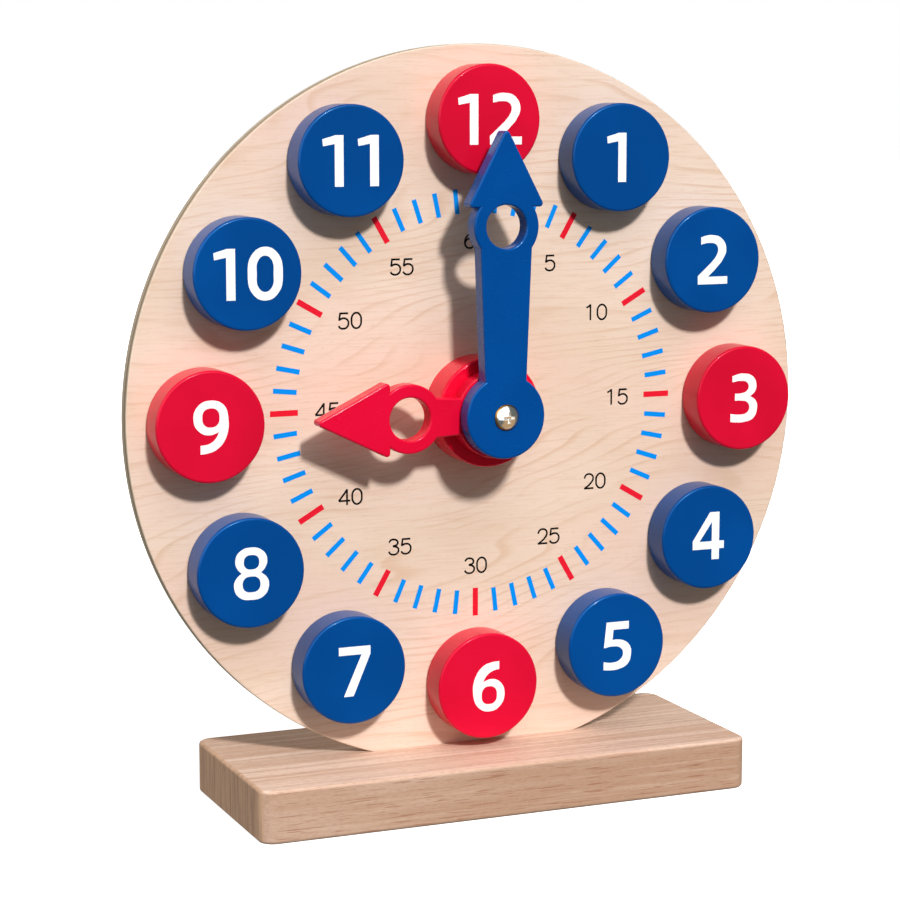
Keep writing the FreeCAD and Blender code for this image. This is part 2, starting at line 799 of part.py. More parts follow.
def make_hand_screw():
    """Domed cross-recessed screw that holds the minute hand on the arbor."""
    body = new_body("hand_screw")
    top = minute_hand_front + sized("hand_screw_head_height")
    shank_back = arbor_front - sized("hand_screw_length") + end_gap
    stand(body, minute_hand_front, sized("hand_screw_head_height"),
          sized("hand_screw_head_radius"), "hand_screw_head")
    round_edges(body, sized("hand_screw_dome_radius"),
                lambda edge: lies_at(edge, "Y", -top.number), "hand_screw_dome")
    stand(body, shank_back, minute_hand_front - shank_back, sized("hand_screw_radius"),
          "hand_screw_shank")
    long_half = sized("cross_recess_length") / 2
    short_half = sized("cross_recess_width") / 2
    for name, half_width, half_height in (("level", long_half, short_half),
                                          ("upright", short_half, long_half)):
        sketch = front_sketch(body, top, "cross_recess_" + name)
        rectangle(sketch, half_width, half_height)
        pocket(body, sketch, sized("cross_recess_depth"))
    place_on_dial(body)


# The clock

make_plinth()
make_dial()
for clock_hour in range(1, DISC_COUNT + 1):
    make_number_disc(clock_hour)
    make_dowel(clock_hour)
make_gear_case()
make_case_screws()
make_plinth_screws()
make_idler_stud()
make_idler_gear()
make_minute_arbor()
make_hour_wheel()
make_arbor_bush()
make_rear_washer()
make_rear_nut()
make_hour_hand()
make_minute_hand()
make_hand_screw()
doc.recompute()

for item in doc.Objects:
    if "Invalid" in item.State or "Error" in item.State:
        raise RuntimeError(f"{item.Label} failed: {item.State}")

pieces = [item for item in doc.Objects
          if item.TypeId == "PartDesign::Body" or item.TypeId == "Part::Feature"]
for piece in pieces:
    if piece.Shape.isNull() or not piece.Shape.isValid():
        raise RuntimeError(f"{piece.Label} has no valid shape")

os.makedirs("parts", exist_ok=True)
for piece in pieces:
    piece.Shape.exportStep(f"parts/{piece.Label}.step")
    box = piece.Shape.BoundBox
    print(f"{piece.Label}: {len(piece.Shape.Solids)} solid(s), {piece.Shape.Volume:.1f} mm3, "
          f"y {box.YMin:.2f} to {box.YMax:.2f}")
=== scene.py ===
"""Looks of the wooden teaching clock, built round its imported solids.

Every sub-assembly is a class that makes its own printed pieces and dresses its own solids. All
places are in metres in the clock's own frame, and sizes written in millimetres go through mm().
"""

import logging
import math
from dataclasses import dataclass, field, replace
from enum import Enum
from typing import Any, Iterable, Mapping, Optional, Sequence, Union

import bmesh
import bpy
from mathutils import Matrix, Vector


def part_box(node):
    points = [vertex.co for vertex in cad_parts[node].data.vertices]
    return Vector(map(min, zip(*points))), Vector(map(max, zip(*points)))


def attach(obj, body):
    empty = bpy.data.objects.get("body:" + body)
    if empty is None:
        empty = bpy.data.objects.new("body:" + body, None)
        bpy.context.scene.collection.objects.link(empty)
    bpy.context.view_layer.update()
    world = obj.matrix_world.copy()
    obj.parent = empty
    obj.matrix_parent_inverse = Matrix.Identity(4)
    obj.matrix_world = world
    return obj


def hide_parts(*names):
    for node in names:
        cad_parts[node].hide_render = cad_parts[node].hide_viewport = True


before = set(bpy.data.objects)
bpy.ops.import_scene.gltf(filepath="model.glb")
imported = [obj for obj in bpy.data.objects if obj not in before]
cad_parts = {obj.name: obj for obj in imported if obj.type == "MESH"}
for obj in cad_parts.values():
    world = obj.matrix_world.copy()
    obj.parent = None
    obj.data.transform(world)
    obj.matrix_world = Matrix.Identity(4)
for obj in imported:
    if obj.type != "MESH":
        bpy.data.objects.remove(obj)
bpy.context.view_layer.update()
log = logging.getLogger("teaching_clock")

Pair = tuple[float, float]
Triple = tuple[float, float, float]
Colour = Triple
WHITE: Colour = (1.0, 1.0, 1.0)


def mm(length: float) -> float:
    """Millimetres as metres."""
    return length / 1000.0


def linear(level: int) -> float:
    """A screen level from 0 to 255 as linear light."""
    part = level / 255.0
    return part / 12.92 if part <= 0.04045 else ((part + 0.055) / 1.055) ** 2.4


def shade(red: int, green: int, blue: int) -> Colour:
    """A screen colour, in levels from 0 to 255, as a linear one."""
    return linear(red), linear(green), linear(blue)


class Bank(Enum):
    """Colour of a painted piece."""

    RED = "red"
    BLUE = "blue"


# Shader building

class Amount:
    """A number that varies over a surface and takes Python's operators."""

    def __init__(self, shader: "Shader", socket: bpy.types.NodeSocket) -> None:
        """Wrap an output socket of the shader."""
        self.shader = shader
        self.socket = socket

    def _work(self, operation: str, *others: "Level") -> "Amount":
        """Add a Math node.

        Args:
            operation: The node's operation.
            others: The numbers that follow in its sockets.

        Returns:
            The node's result.
        """
        inputs = dict(enumerate(others))
        node = self.shader.node("ShaderNodeMath", {"operation": operation}, inputs)
        return Amount(self.shader, node.outputs[0])

    def __add__(self, other: "Level") -> "Amount":
        """This plus another."""
        return self._work("ADD", self, other)

    def __radd__(self, other: "Level") -> "Amount":
        """Another plus this."""
        return self._work("ADD", other, self)

    def __sub__(self, other: "Level") -> "Amount":
        """This minus another."""
        return self._work("SUBTRACT", self, other)

    def __rsub__(self, other: "Level") -> "Amount":
        """Another minus this."""
        return self._work("SUBTRACT", other, self)

    def __mul__(self, other: "Level") -> "Amount":
        """This times another."""
        return self._work("MULTIPLY", self, other)

    def __rmul__(self, other: "Level") -> "Amount":
        """Another times this."""
        return self._work("MULTIPLY", other, self)

    def __abs__(self) -> "Amount":
        """This without its sign."""
        return self._work("ABSOLUTE", self)

    def root(self) -> "Amount":
        """Square root of this."""
        return self._work("SQRT", self)

    def wave(self) -> "Amount":
        """Sine of this."""
        return self._work("SINE", self)

    def remainder(self) -> "Amount":
        """What is left of this after its whole part."""
        return self._work("FRACT", self)

    def span(self, low: float, high: float) -> "Amount":
        """Ramp smoothly from nought at one level to one at another.

        Args:
            low: Where the ramp is nought.
            high: Where the ramp is one.

        Returns:
            The ramp.
        """
        settings = {"interpolation_type": "SMOOTHSTEP"}
        inputs = {"Value": self, "From Min": low, "From Max": high, "To Min": 0.0, "To Max": 1.0}
        node = self.shader.node("ShaderNodeMapRange", settings, inputs)
        return Amount(self.shader, node.outputs["Result"])

    def near(self, edge: float, blend: Pair) -> "Amount":
        """Nought one distance short of an edge, one at another distance short of it."""
        return self.span(edge - blend[0], edge - blend[1])


Level = Union[Amount, float]


class NodeTree:
    """A material's or a world's node tree in the making."""

    def __init__(self, tree: bpy.types.NodeTree) -> None:
        """Empty the tree that is to be filled."""
        self.tree = tree
        self.tree.nodes.clear()

    def node(self, kind: str, settings: Optional[Mapping[str, Any]] = None,
             inputs: Optional[Mapping[Union[str, int], Any]] = None) -> bpy.types.Node:
        """Add any node.

        Args:
            kind: The node's type.
            settings: Properties to set first.
            inputs: A value or a link for each socket, by name or number.

        Returns:
            The new node.
        """
        node = self.tree.nodes.new(kind)
        for name, value in (settings or {}).items():
            setattr(node, name, value)
        for name, value in (inputs or {}).items():
            self.feed(node.inputs[name], value)
        return node

    def feed(self, socket: bpy.types.NodeSocket, value: Any) -> None:
        """Link or set one input socket.

        Args:
            socket: The input.
            value: An Amount, an output socket, a number, a colour or a vector.
        """
        if isinstance(value, Amount):
            value = value.socket
        if isinstance(value, bpy.types.NodeSocket):
            self.tree.links.new(value, socket)
        elif socket.type == "RGBA" and len(value) == 3:
            socket.default_value = (*value, 1.0)
        else:
            socket.default_value = value


class Shader(NodeTree):
    """A material's nodes round one Principled shader."""

    MIX_FACTOR, MIX_A, MIX_B, MIX_RESULT = 0, 6, 7, 2

    def __init__(self, name: str) -> None:
        """Start a material.

        Args:
            name: The material's name.
        """
        self.material = bpy.data.materials.new(name)
        self.material.use_nodes = True
        super().__init__(self.material.node_tree)
        self.surface = self.node("ShaderNodeBsdfPrincipled")
        self.node("ShaderNodeOutputMaterial", None, {"Surface": self.surface.outputs[0]})
        self.place = self.node("ShaderNodeTexCoord").outputs["Object"]

    def coordinates(self) -> tuple[Amount, Amount, Amount]:
        """The surface's place along X, Y and Z, in metres."""
        node = self.node("ShaderNodeSeparateXYZ", None, {0: self.place})
        return tuple(Amount(self, node.outputs[axis]) for axis in range(3))

    def radius(self, x: float, z: float) -> Amount:
        """Distance from an axis along Y.

        Args:
            x: Where the axis is along X.
            z: Where the axis is along Z.

        Returns:
            The distance in metres.
        """
        across, _, up = self.coordinates()
        across, up = across - x, up - z
        return (across * across + up * up).root()

    def noise(self, per_metre: Colour, detail: float = 2.0, roughness: float = 0.5,
              distortion: float = 0.0, shift: Colour = (0.0, 0.0, 0.0)) -> Amount:
        """Noise that can be drawn out along an axis.

        Args:
            per_metre: Blotches per metre along X, Y and Z.
            detail: Octaves.
            roughness: Strength of the finer octaves.
            distortion: How far the pattern is stirred.
            shift: Move of the pattern, to tell two alike apart.

        Returns:
            A number that lies mostly between 0.3 and 0.7.
        """
        turned = self.node("ShaderNodeMapping", {"vector_type": "POINT"},
                           {"Vector": self.place, "Location": shift, "Scale": per_metre})
        node = self.node("ShaderNodeTexNoise", {"noise_dimensions": "3D"}, {
            "Vector": turned.outputs[0],
            "Scale": 1.0,
            "Detail": detail,
            "Roughness": roughness,
            "Distortion": distortion,
        })
        return Amount(self, node.outputs[0])

    def mix(self, factor: Level, first: Any, second: Any) -> bpy.types.NodeSocket:
        """Mix two colours.

        Args:
            factor: Nought gives the first, one the second.
            first: A colour or a link.
            second: A colour or a link.

        Returns:
            The mixed colour.
        """
        node = self.node("ShaderNodeMix", {"data_type": "RGBA", "clamp_factor": True}, {
            self.MIX_FACTOR: factor,
            self.MIX_A: first,
            self.MIX_B: second,
        })
        return node.outputs[self.MIX_RESULT]

    def bump(self, height: Amount, depth: float, strength: float = 1.0) -> None:
        """Feed the surface's normal from a height.

        Args:
            height: The height, about nought to one.
            depth: How deep a height of one is, in metres.
            strength: How much of it shows.
        """
        node = self.node("ShaderNodeBump", None,
                         {"Strength": strength, "Distance": depth, "Height": height})
        self.feed(self.surface.inputs["Normal"], node.outputs[0])

    def set(self, **values: Any) -> None:
        """Set or link inputs of the surface shader, written with _ for a space."""
        for name, value in values.items():
            self.feed(self.surface.inputs[name.replace("_", " ")], value)


# Finishes

# Tints of the gloss, which keep the lit edges of the red and blue pieces from going pink and grey
RED_SHINE: Colour = (1.0, 0.24, 0.32)
BLUE_SHINE: Colour = (0.16, 0.58, 1.0)


@dataclass(frozen=True)
class Finish:
    """What every finish has: a name, and a material made once."""

    name: str

    def build(self, shader: Shader) -> None:
        """Lay the finish's nodes."""
        raise NotImplementedError

    def material(self) -> bpy.types.Material:
        """Make the finish's material on its first use.

        Returns:
            The material.
        """
        made = bpy.data.materials.get(self.name)
        if made is None:
            shader = Shader(self.name)
            self.build(shader)
            made = shader.material
        return made


@dataclass(frozen=True)
class Plywood(Finish):
    """Pale veneered ply: level figure on its faces, its plies on the rim."""

    rim_radius: float
    centre_height: float
    thickness: float
    cream: Colour = shade(236, 211, 193)
    rose: Colour = shade(234, 199, 182)
    tan: Colour = shade(228, 200, 178)
    growth: Colour = shade(212, 170, 136)
    pore: Colour = shade(190, 148, 122)
    ply_pale: Colour = shade(206, 186, 161)
    ply_dark: Colour = shade(160, 139, 117)
    ply_fibre: Colour = shade(128, 110, 93)
    rings_up: float = 250.0
    rings_along: float = 30.0
    ring_wander: float = 26.0
    ply_waves: float = 1.5
    rim_blend: Pair = (mm(0.30), mm(0.12))

    def _face(self, shader: Shader, fine: Amount, slope: Amount) -> bpy.types.NodeSocket:
        """Lay the figure of the veneer.

        Args:
            shader: The material.
            fine: Its fine grain.
            slope: Growth rings passed on the way up the face.

        Returns:
            The veneer's colour.
        """
        clouds = shader.noise((9.0, 9.0, 24.0), 3.0, 0.5, 0.5)
        warmth = shader.noise((6.0, 6.0, 15.0), 2.0, 0.5, 0.3, (3.1, 0.0, 1.7))
        figure = shader.noise((3.6, 3.6, 17.0), 2.2, 0.5, 0.0, (0.4, 0.0, 2.2))
        fade = shader.noise((26.0, 26.0, 70.0), 2.0, 0.5, 0.0, (5.0, 0.0, 0.0))
        turn = (figure * self.ring_wander + slope).remainder()
        growth = (turn.span(0.60, 0.91) - turn.span(0.91, 1.0)) * fade.span(0.33, 0.66)
        pores = shader.noise((330.0, 330.0, 2600.0), 1.0, 0.5)
        base = shader.mix(clouds.span(0.34, 0.66), self.cream, self.tan)
        base = shader.mix(warmth.span(0.44, 0.68) * 0.7, base, self.rose)
        lined = shader.mix(growth * 0.50, base, self.growth)
        grained = shader.mix(fine.span(0.46, 0.72) * 0.34, lined, self.growth)
        return shader.mix(pores.span(0.62, 0.76) * 0.26, grained, self.pore)

    def build(self, shader: Shader) -> None:
        """Lay the veneer and the plies of the rim.

        Args:
            shader: The material.
        """
        x, y, z = shader.coordinates()
        fine = shader.noise((70.0, 70.0, 1500.0), 3.0, 0.6, 0.4)
        slope = z * self.rings_up - x * self.rings_along
        at_rim = shader.radius(0.0, self.centre_height).near(self.rim_radius, self.rim_blend)
        plies = (y * (math.tau * self.ply_waves / self.thickness)).wave().span(-0.4, 0.4)
        fibres = shader.noise((90.0, 2600.0, 90.0), 2.0, 0.6)
        rim = shader.mix(plies, self.ply_dark, self.ply_pale)
        rim = shader.mix(fibres.span(0.4, 0.7) * 0.45, rim, self.ply_fibre)
        shader.set(Base_Color=shader.mix(at_rim, self._face(shader, fine, slope), rim),
                   Roughness=0.46 + fine * 0.10 + at_rim * 0.2,
                   Specular_IOR_Level=0.36)
        shader.bump(fine, mm(0.02), 0.4)


@dataclass(frozen=True)
class BlockWood(Finish):
    """Solid pale hardwood with its grain along X and end grain on its ends. The top is painted
    lighter than the sides as painted light, and the end grain's tone is lifted as painted light
    too.
    """

    half_length: float
    top: float
    pale: Colour = shade(203, 168, 146)
    brown: Colour = shade(187, 148, 122)
    dark: Colour = shade(156, 98, 68)
    light: Colour = shade(216, 184, 163)
    # Top colours: the top's own streaked grain, painted lighter than the sides as painted light
    # from above
    top_pale: Colour = shade(233, 203, 183)
    top_brown: Colour = shade(210, 171, 146)
    # End grain colour: the wood's own end grain, lifted lighter than the side grain as painted
    # light on the end faces
    end: Colour = shade(209, 168, 137)
    top_blend: Pair = (mm(1.0), mm(0.1))
    corner_blend: Pair = (mm(7.0), mm(3.0))
    end_blend: Pair = (mm(1.6), mm(0.5))

    def build(self, shader: Shader) -> None:
        """Lay the growth bands, the flecks, the end grain and the painted light on the top and the
        ends.

        Args:
            shader: The material.
        """
        x, _, z = shader.coordinates()
        bands = shader.noise((6.0, 70.0, 70.0), 3.0, 0.5, 0.8)
        lines = shader.noise((16.0, 460.0, 620.0), 3.0, 0.55, 0.5)
        flecks = shader.noise((80.0, 620.0, 1900.0), 2.0, 0.5)
        fine = shader.noise((420.0, 2400.0, 3000.0), 2.0, 0.6)
        streaks = shader.noise((4.5, 330.0, 330.0), 3.0, 0.66, 0.2)
        side = shader.mix(bands.span(0.34, 0.66), self.pale, self.brown)
        side = shader.mix(lines.span(0.50, 0.70) * 0.45, side, self.brown)
        side = shader.mix(lines.span(0.47, 0.30) * 0.40, side, self.light)
        # The top's streaked grain in lighter colours: painted light that shows the top brighter
        # than the front
        top_grain_painted_light = shader.mix(streaks.span(0.36, 0.64), self.top_pale, self.top_brown)
        at_top_grain_and_light = z.near(self.top, self.top_blend)
        side = shader.mix(at_top_grain_and_light, side, top_grain_painted_light)
        at_corner = abs(x).near(self.half_length, self.corner_blend)
        fleck = flecks.span(0.58, 0.67) * (0.62 - at_top_grain_and_light * 0.48) * (1.0 - at_corner)
        side = shader.mix(fleck, side, self.dark)
        side = shader.mix(fine.span(0.48, 0.70) * 0.30, side, self.dark)

        rays = shader.noise((700.0, 640.0, 40.0), 3.0, 0.55, 0.4)
        pores = shader.noise((1800.0, 2100.0, 900.0), 1.0, 0.5)
        # End grain: the rays and pores are the wood's own, and its lighter base tone is painted
        # light
        end = shader.mix(rays.span(0.40, 0.64), self.end, self.brown)
        end = shader.mix(rays.span(0.58, 0.72) * 0.20, end, self.dark)
        end = shader.mix(pores.span(0.60, 0.70) * 0.26, end, self.dark)
        at_end = abs(x).near(self.half_length, self.end_blend)
        shader.set(Base_Color=shader.mix(at_end, side, end),
                   Roughness=0.42 + fine * 0.16 + at_end * 0.12,
                   Specular_IOR_Level=0.4)
        shader.bump(fine * 0.5 - fleck * 1.2 + lines * 0.4, mm(0.05), 0.50)


@dataclass(frozen=True)
class DowelWood(Finish):
    """Plain beech dowel with its grain along Y."""

    pale: Colour = shade(214, 178, 142)
    dark: Colour = shade(170, 128, 94)
    speckle: Colour = shade(120, 84, 58)

    def build(self, shader: Shader) -> None:
        """Lay the grain and the speckle of its ends.

        Args:
            shader: The material.
        """
        grain = shader.noise((900.0, 30.0, 900.0), 3.0, 0.6)
        speck = shader.noise((2600.0, 300.0, 2600.0), 1.0, 0.5)
        tone = shader.mix(grain.span(0.38, 0.66), self.pale, self.dark)
        tone = shader.mix(speck.span(0.58, 0.70) * 0.6, tone, self.speckle)
        shader.set(Base_Color=tone, Roughness=0.55 + grain * 0.15)
        shader.bump(grain + speck * 0.5, mm(0.03), 0.5)


@dataclass(frozen=True)
class Paint(Finish):
    """Sprayed satin gloss on turned wood, with the grain just telling through."""

    colour: Colour
    deep: Colour
    shine: Colour
    face: float = 0.0
    roughness: float = 0.26
    edge_blend: Pair = (mm(0.4), mm(1.4))

    def build(self, shader: Shader) -> None:
        """Lay the colour's slight drift, the spray's texture and the faint grain.

        Args:
            shader: The material.
        """
        y = shader.coordinates()[1]
        at_side = y.span(self.face + self.edge_blend[0], self.face + self.edge_blend[1])
        turned = shader.noise((620.0, 60.0, 620.0), 3.0, 0.6, 0.2).span(0.46, 0.68) * at_side
        drift = shader.noise((26.0, 26.0, 26.0), 2.0, 0.5)
        grain = shader.noise((60.0, 420.0, 900.0), 3.0, 0.55, 0.4)
        spray = shader.noise((900.0, 900.0, 900.0), 2.0, 0.5)
        tone = shader.mix(drift.span(0.30, 0.70), self.colour, self.deep)
        tone = shader.mix(grain.span(0.56, 0.76) * 0.22 + turned * 0.6, tone, self.deep)
        shader.set(Base_Color=tone,
                   Roughness=self.roughness + spray * 0.08 + grain * 0.05,
                   Specular_IOR_Level=0.36, Specular_Tint=self.shine,
                   Coat_Weight=0.10, Coat_Roughness=0.10)
        shader.bump(grain * 0.6 + spray * 0.4 - turned * 2.0, mm(0.012), 0.25)


@dataclass(frozen=True)
class Moulding(Finish):
    """Glossy moulded plastic with a little mould texture and a few handling scuffs."""

    colour: Colour
    deep: Colour
    shine: Colour
    roughness: float = 0.24

    def build(self, shader: Shader) -> None:
        """Lay the colour, the mould's skin and the scuffs.

        Args:
            shader: The material.
        """
        drift = shader.noise((34.0, 34.0, 34.0), 2.0, 0.5)
        skin = shader.noise((1500.0, 1500.0, 1500.0), 2.0, 0.55)
        scuff = shader.noise((210.0, 90.0, 480.0), 3.0, 0.6, 1.2)
        tone = shader.mix(drift.span(0.30, 0.70), self.colour, self.deep)
        shader.set(Base_Color=tone,
                   Roughness=self.roughness + scuff.span(0.58, 0.74) * 0.06 + skin * 0.04,
                   Specular_IOR_Level=0.38, Specular_Tint=self.shine,
                   Coat_Weight=0.10, Coat_Roughness=0.08)
        shader.bump(skin * 0.6 + scuff * 0.2, mm(0.006), 0.08)


@dataclass(frozen=True)
class Ink(Finish):
    """Screen-printed ink, a little uneven and broken by the wood's pores."""

    colour: Colour
    worn: Colour

    def build(self, shader: Shader) -> None:
        """Lay the ink's body and its thin spots.

        Args:
            shader: The material.
        """
        body = shader.noise((420.0, 420.0, 420.0), 3.0, 0.6)
        thin = shader.noise((900.0, 900.0, 5200.0), 2.0, 0.5)
        tone = shader.mix(thin.span(0.64, 0.78) * 0.5, self.colour, self.worn)
        shader.set(Base_Color=tone, Roughness=0.46 + body * 0.14, Specular_IOR_Level=0.06)
        shader.bump(body, mm(0.008), 0.4)


@dataclass(frozen=True)
class TurnedMetal(Finish):
    """Bright metal with fine turning lines round an axis along Y."""

    colour: Colour
    tarnish: Colour
    axis_x: float = 0.0
    axis_z: float = 0.0
    roughness: float = 0.22
    lines_per_metre: float = 5200.0

    def build(self, shader: Shader) -> None:
        """Lay the turning lines and the tarnish.

        Args:
            shader: The material.
        """
        along = shader.coordinates()[1]
        rings = shader.radius(self.axis_x, self.axis_z) + along
        rings = (rings * self.lines_per_metre).wave()
        cloud = shader.noise((260.0, 260.0, 260.0), 3.0, 0.6)
        tone = shader.mix(cloud.span(0.50, 0.74) * 0.5, self.colour, self.tarnish)
        shader.set(Base_Color=tone, Metallic=1.0,
                   Roughness=self.roughness + cloud * 0.12)
        shader.bump(rings * 0.5 + cloud, mm(0.004), 0.25)


@dataclass(frozen=True)
class ScrewPlate(Finish):
    """Bright nickel dome that turns bronze at its skirt."""

    colour: Colour
    skirt: Colour
    axis_x: float = 0.0
    axis_z: float = 0.0
    dome_radius: float = 0.0
    skirt_blend: Pair = (mm(0.25), -mm(0.10))

    def build(self, shader: Shader) -> None:
        """Lay the plate, the bronze skirt and a few fine scratches.

        Args:
            shader: The material.
        """
        radius = shader.radius(self.axis_x, self.axis_z)
        at_skirt = radius.near(self.dome_radius, self.skirt_blend)
        scratch = shader.noise((300.0, 300.0, 3000.0), 2.0, 0.5, 1.0)
        tone = shader.mix(at_skirt, self.colour, self.skirt)
        shader.set(Base_Color=tone, Metallic=1.0,
                   Roughness=0.12 + scratch * 0.10 + at_skirt * 0.14)
        shader.bump(scratch, mm(0.003), 0.2)


@dataclass(frozen=True)
class GearNylon(Finish):
    """Natural white nylon, slightly cloudy."""

    colour: Colour = shade(232, 228, 214)
    deep: Colour = shade(214, 208, 190)

    def build(self, shader: Shader) -> None:
        """Lay the cloud and the mould's skin.

        Args:
            shader: The material.
        """
        cloud = shader.noise((300.0, 300.0, 300.0), 3.0, 0.6)
        shader.set(Base_Color=shader.mix(cloud.span(0.35, 0.65), self.colour, self.deep),
                   Roughness=0.40 + cloud * 0.12)
        shader.bump(cloud, mm(0.01), 0.3)


@dataclass(frozen=True)
class PaleFloor(Finish):
    """White sweep that lights itself a little, so that only a soft shadow shows."""

    glow: float = 0.80
    white: Colour = shade(250, 250, 250)
    off_white: Colour = shade(246, 246, 246)

    def build(self, shader: Shader) -> None:
        """Lay a white surface with a trace of unevenness.

        Args:
            shader: The material.
        """
        cloud = shader.noise((3.0, 3.0, 3.0), 2.0, 0.5)
        shader.set(Base_Color=shader.mix(cloud, self.white, self.off_white),
                   Roughness=0.85, Specular_IOR_Level=0.1,
                   Emission_Color=WHITE, Emission_Strength=self.glow)


# Places

@dataclass(frozen=True)
class DialPlace:
    """Where the dial is, read from its solid."""

    radius: float
    thickness: float
    centre: Vector

    @classmethod
    def measured(cls) -> "DialPlace":
        """Read the dial's radius, its thickness and the centre of its face from its box.

        Returns:
            The dial's place.
        """
        low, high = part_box("dial_board")
        radius = (high.x - low.x) / 2
        centre = Vector(((low.x + high.x) / 2, low.y, high.z - radius))
        return cls(radius, high.y - low.y, centre)


# What several classes use to make meshes and objects

def placed(name: str, data: bpy.types.ID) -> bpy.types.Object:
    """Put an object into the scene.

    Args:
        name: Its name.
        data: Its mesh, curve, light or camera.

    Returns:
        The object.
    """
    made = bpy.data.objects.new(name, data)
    bpy.context.scene.collection.objects.link(made)
    return made


def aim(item: bpy.types.Object, way: Vector) -> None:
    """Turn a lamp or the camera to look along a direction."""
    item.rotation_mode = "QUATERNION"
    item.rotation_quaternion = way.to_track_quat("-Z", "Y")


def finished(name: str, shell: bmesh.types.BMesh) -> bpy.types.Mesh:
    """Turn a bmesh into a mesh and free it.

    Args:
        name: The mesh's name.
        shell: The bmesh.

    Returns:
        The mesh.
    """
    mesh = bpy.data.meshes.new(name)
    shell.to_mesh(mesh)
    shell.free()
    return mesh


def worked_out(item: bpy.types.Object) -> bpy.types.Mesh:
    """Take the mesh of a drawn curve, or of an object with its modifiers applied.

    Args:
        item: The object.

    Returns:
        Its final mesh.
    """
    bpy.context.view_layer.update()
    graph = bpy.context.evaluated_depsgraph_get()
    return bpy.data.meshes.new_from_object(item.evaluated_get(graph))


def dress(node: str, finish: Finish) -> None:
    """Give a solid of the clock its finish.

    Args:
        node: The solid's name.
        finish: What it is finished with.
    """
    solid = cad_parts[node]
    material = finish.material()
    if solid.material_slots:
        for slot in solid.material_slots:
            slot.material = material
    else:
        solid.data.materials.append(material)
    log.info("dressed %s with %s", node, finish.name)


def piece(name: str, mesh: bpy.types.Mesh, finish: Finish, body: str) -> bpy.types.Object:
    """Turn a mesh that is in its place into a piece that rides on a body.

    Args:
        name: The piece's name.
        mesh: Its mesh, in the clock's frame.
        finish: What it is finished with.
        body: The body that carries it.

    Returns:
        The piece.
    """
    mesh.name = name
    mesh.materials.clear()
    mesh.materials.append(finish.material())
    made = placed(name, mesh)
    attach(made, body)
    log.info("piece %s: %d faces, rides on %s", name, len(mesh.polygons), body)
    return made


# Printed figures

@dataclass(frozen=True)
class Knot:
    """A point of a printed figure's line, in millimetres."""

    x: float
    y: float
    sharp: bool = False


Line = tuple[Knot, ...]


def bends(*places: Pair) -> Line:
    """Knots that the line passes smoothly."""
    return tuple(Knot(x, y) for x, y in places)


def corners(*places: Pair) -> Line:
    """Knots where the line turns sharply."""
    return tuple(Knot(x, y, True) for x, y in places)


def oval(x: float, y: float, half_width: float, half_height: float,
         fullness: float = 0.75) -> Line:
    """A closed round line.

    Args:
        x: Its middle.
        y: Its middle.
        half_width: Half its width.
        half_height: Half its height.
        fullness: How far out its four shoulders lie. A true ellipse has 0.707.

    Returns:
        Eight smooth knots.
    """
    wide, high = half_width * fullness, half_height * fullness
    return bends(
        (x, y + half_height), (x + wide, y + high), (x + half_width, y), (x + wide, y - high),
        (x, y - half_height), (x - wide, y - high), (x - half_width, y), (x - wide, y + high))


